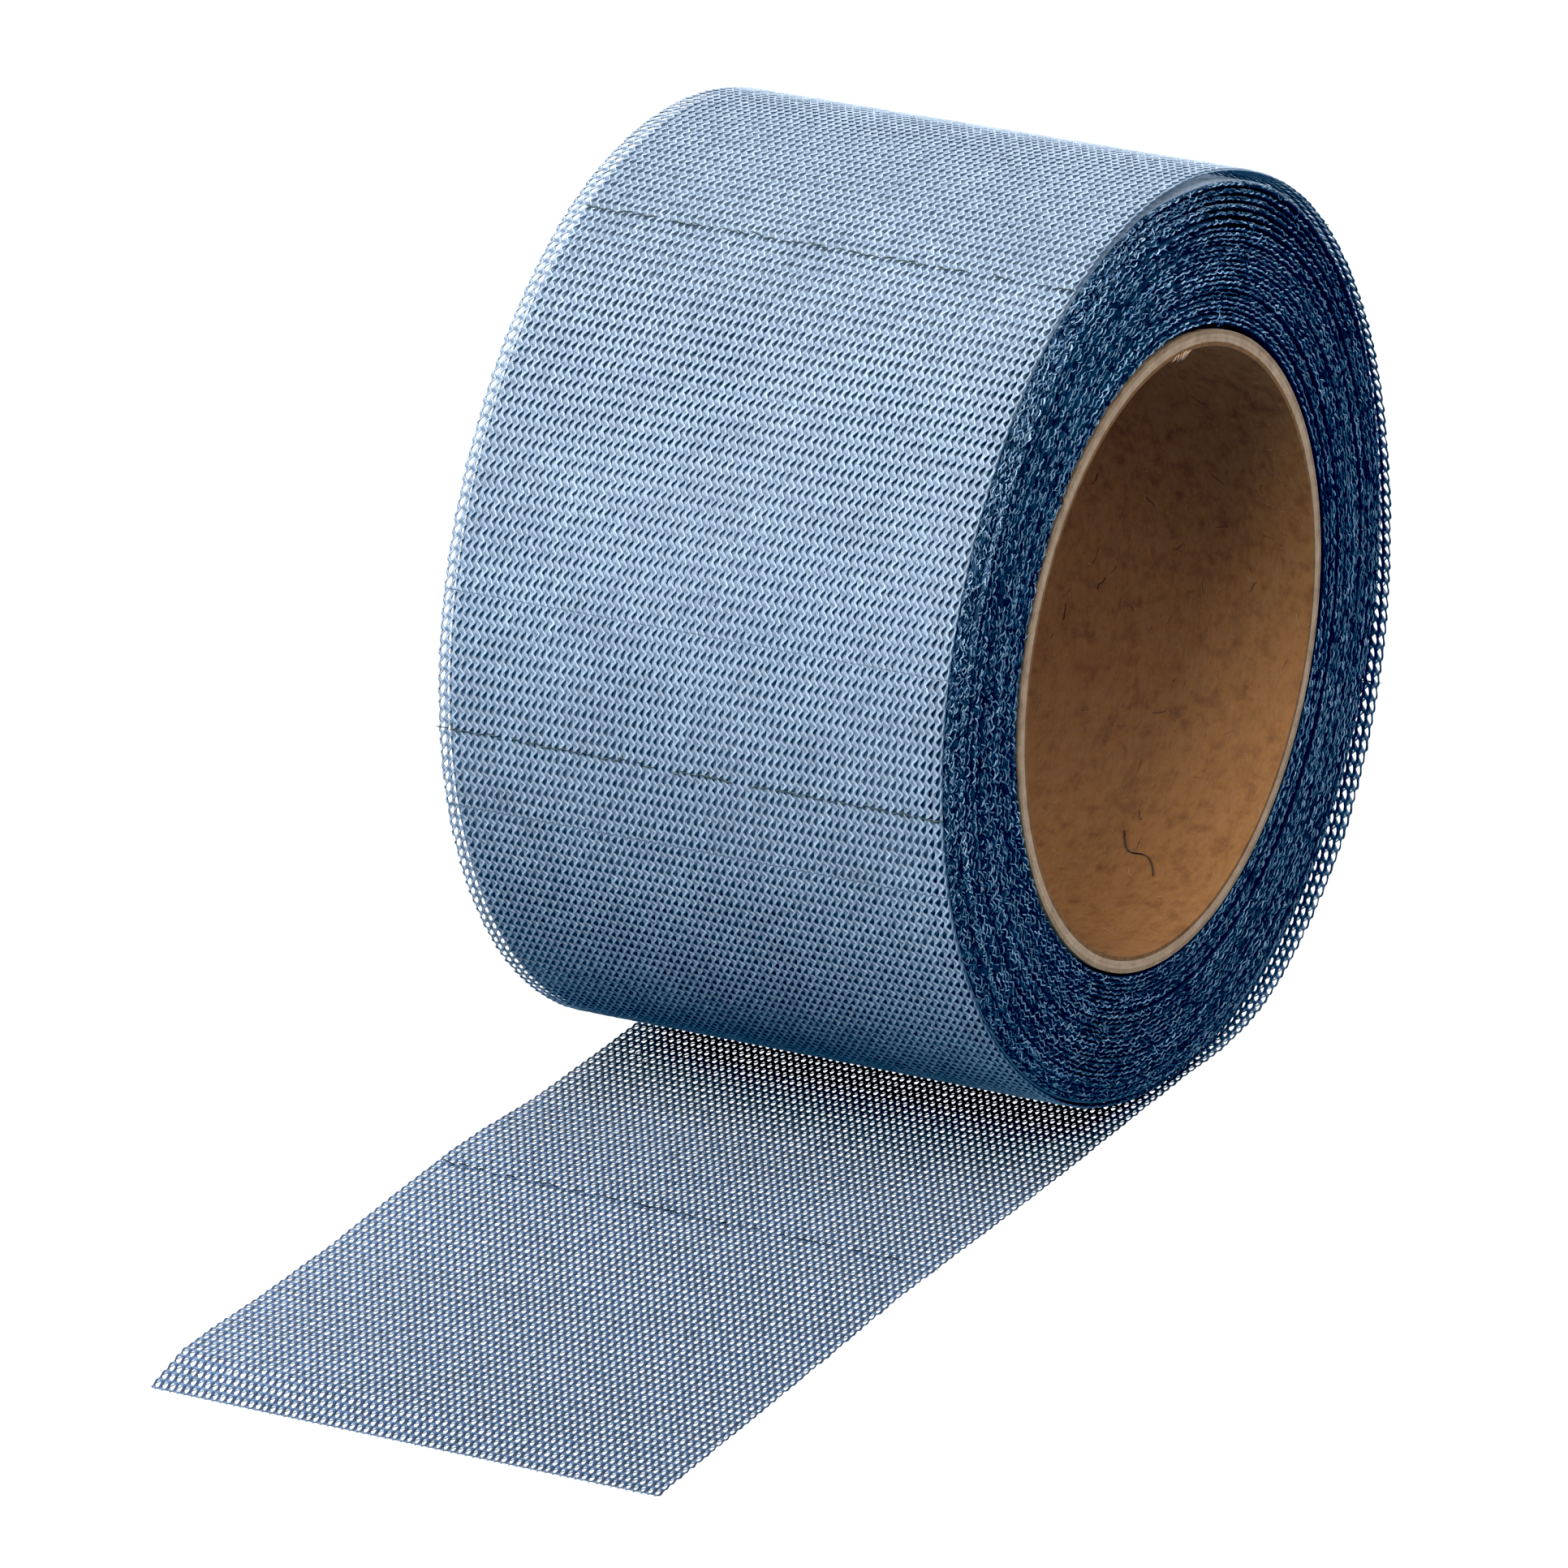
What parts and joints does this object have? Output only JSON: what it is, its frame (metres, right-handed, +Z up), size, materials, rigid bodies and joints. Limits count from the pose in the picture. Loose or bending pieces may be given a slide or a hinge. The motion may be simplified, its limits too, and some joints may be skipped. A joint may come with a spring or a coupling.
{
  "type": "net strip roll",
  "caption": "Roll of knitted net strip on a paperboard core, standing on its own loose end, which lies flat in front and has crosswise tear lines.",
  "frame": {"origin": "centre of the core's bore, half way along its length", "axes": "+Y along the roll's axis, +Z up, -X the way the loose tail runs; the floor is at z = -58 mm"},
  "size_m": [0.1932, 0.07, 0.1174],
  "materials": {
    "paperboard": "matt kraft paperboard",
    "liner": "matt kraft liner",
    "tape": "translucent double-sided film tape",
    "net_dark": "knitted yarn, navy face",
    "net_light": "knitted yarn, light looped face"
  },
  "bodies": {
    "foot": {"strip_foot": "net_dark"},
    "lap_01": {"lap_01": "net_light"},
    "lap_02": {"lap_02": "net_light"},
    "lap_03": {"lap_03": "net_light"},
    "lap_04": {"lap_04": "net_light"},
    "lap_05": {"lap_05": "net_light"},
    "lap_06": {"lap_06": "net_light"},
    "roll": {"core_inner_liner": "liner", "core_wall_ply_1": "paperboard", "core_wall_ply_2": "paperboard", "core_outer_ply": "paperboard", "start_tape": "tape", "wound_turns": "net_dark", "outer_turn": "net_light"},
    "tail_01": {"tail_01": "net_dark"},
    "tail_02": {"tail_02": "net_dark"},
    "tail_03": {"tail_03": "net_dark"},
    "tail_04": {"tail_04": "net_dark"},
    "tail_05": {"tail_05": "net_dark"},
    "tail_06": {"tail_06": "net_dark"},
    "tail_07": {"tail_07": "net_dark"},
    "tail_08": {"tail_08": "net_dark"},
    "tail_09": {"tail_09": "net_dark"},
    "tail_10": {"tail_10": "net_dark"}
  },
  "joints": [
    {"name": "unroll", "type": "hinge", "parent": "foot", "child": "roll", "pos_m": [0.04133, 0, -0.04967], "axis": [0, 1, 0], "range_deg": [0, 76.1]},
    {"name": "lap_bend_6", "type": "hinge", "parent": "roll", "child": "lap_06", "pos_m": [0.05756, 0, -0.01771], "axis": [0, 1, 0], "range_deg": [-6.34, 0]},
    {"name": "lap_bend_5", "type": "hinge", "parent": "lap_06", "child": "lap_05", "pos_m": [0.05353, 0, -0.02863], "axis": [0, 1, 0], "range_deg": [-12.69, 0]},
    {"name": "lap_bend_4", "type": "hinge", "parent": "lap_05", "child": "lap_04", "pos_m": [0.0472, 0, -0.0384], "axis": [0, 1, 0], "range_deg": [-12.69, 0]},
    {"name": "lap_bend_3", "type": "hinge", "parent": "lap_04", "child": "lap_03", "pos_m": [0.03888, 0, -0.04655], "axis": [0, 1, 0], "range_deg": [-12.69, 0]},
    {"name": "lap_bend_2", "type": "hinge", "parent": "lap_03", "child": "lap_02", "pos_m": [0.02898, 0, -0.05267], "axis": [0, 1, 0], "range_deg": [-12.69, 0]},
    {"name": "lap_bend_1", "type": "hinge", "parent": "lap_02", "child": "lap_01", "pos_m": [0.01797, 0, -0.05646], "axis": [0, 1, 0], "range_deg": [-12.69, 0]},
    {"name": "tail_wind", "type": "hinge", "parent": "foot", "child": "tail_01", "pos_m": [-0.01693, 0, -0.05775], "axis": [0, 1, 0], "range_deg": [0, 12.2]},
    {"name": "tail_bend_1", "type": "hinge", "parent": "tail_01", "child": "tail_02", "pos_m": [-0.0286, 0, -0.05775], "axis": [0, 1, 0], "range_deg": [0, 12.2]},
    {"name": "tail_bend_2", "type": "hinge", "parent": "tail_02", "child": "tail_03", "pos_m": [-0.04027, 0, -0.05775], "axis": [0, 1, 0], "range_deg": [0, 12.2]},
    {"name": "tail_bend_3", "type": "hinge", "parent": "tail_03", "child": "tail_04", "pos_m": [-0.05193, 0, -0.05775], "axis": [0, 1, 0], "range_deg": [0, 12.2]},
    {"name": "tail_bend_4", "type": "hinge", "parent": "tail_04", "child": "tail_05", "pos_m": [-0.0636, 0, -0.05775], "axis": [0, 1, 0], "range_deg": [0, 12.2]},
    {"name": "tail_bend_5", "type": "hinge", "parent": "tail_05", "child": "tail_06", "pos_m": [-0.07527, 0, -0.05775], "axis": [0, 1, 0], "range_deg": [0, 12.2]},
    {"name": "tail_bend_6", "type": "hinge", "parent": "tail_06", "child": "tail_07", "pos_m": [-0.08693, 0, -0.05775], "axis": [0, 1, 0], "range_deg": [0, 12.2]},
    {"name": "tail_bend_7", "type": "hinge", "parent": "tail_07", "child": "tail_08", "pos_m": [-0.0986, 0, -0.05775], "axis": [0, 1, 0], "range_deg": [0, 12.2]},
    {"name": "tail_bend_8", "type": "hinge", "parent": "tail_08", "child": "tail_09", "pos_m": [-0.11027, 0, -0.05775], "axis": [0, 1, 0], "range_deg": [0, 12.2]},
    {"name": "tail_bend_9", "type": "hinge", "parent": "tail_09", "child": "tail_10", "pos_m": [-0.12193, 0, -0.05775], "axis": [0, 1, 0], "range_deg": [0, 12.2]}
  ],
  "couplings": [
    {"joint": "lap_bend_6", "follows": "unroll", "ratio": -0.083333},
    {"joint": "lap_bend_5", "follows": "unroll", "ratio": -0.16667},
    {"joint": "lap_bend_4", "follows": "unroll", "ratio": -0.16667},
    {"joint": "lap_bend_3", "follows": "unroll", "ratio": -0.16667},
    {"joint": "lap_bend_2", "follows": "unroll", "ratio": -0.16667},
    {"joint": "lap_bend_1", "follows": "unroll", "ratio": -0.16667},
    {"joint": "tail_bend_1", "follows": "tail_wind", "ratio": 1},
    {"joint": "tail_bend_2", "follows": "tail_wind", "ratio": 1},
    {"joint": "tail_bend_3", "follows": "tail_wind", "ratio": 1},
    {"joint": "tail_bend_4", "follows": "tail_wind", "ratio": 1},
    {"joint": "tail_bend_5", "follows": "tail_wind", "ratio": 1},
    {"joint": "tail_bend_6", "follows": "tail_wind", "ratio": 1},
    {"joint": "tail_bend_7", "follows": "tail_wind", "ratio": 1},
    {"joint": "tail_bend_8", "follows": "tail_wind", "ratio": 1},
    {"joint": "tail_bend_9", "follows": "tail_wind", "ratio": 1}
  ]
}
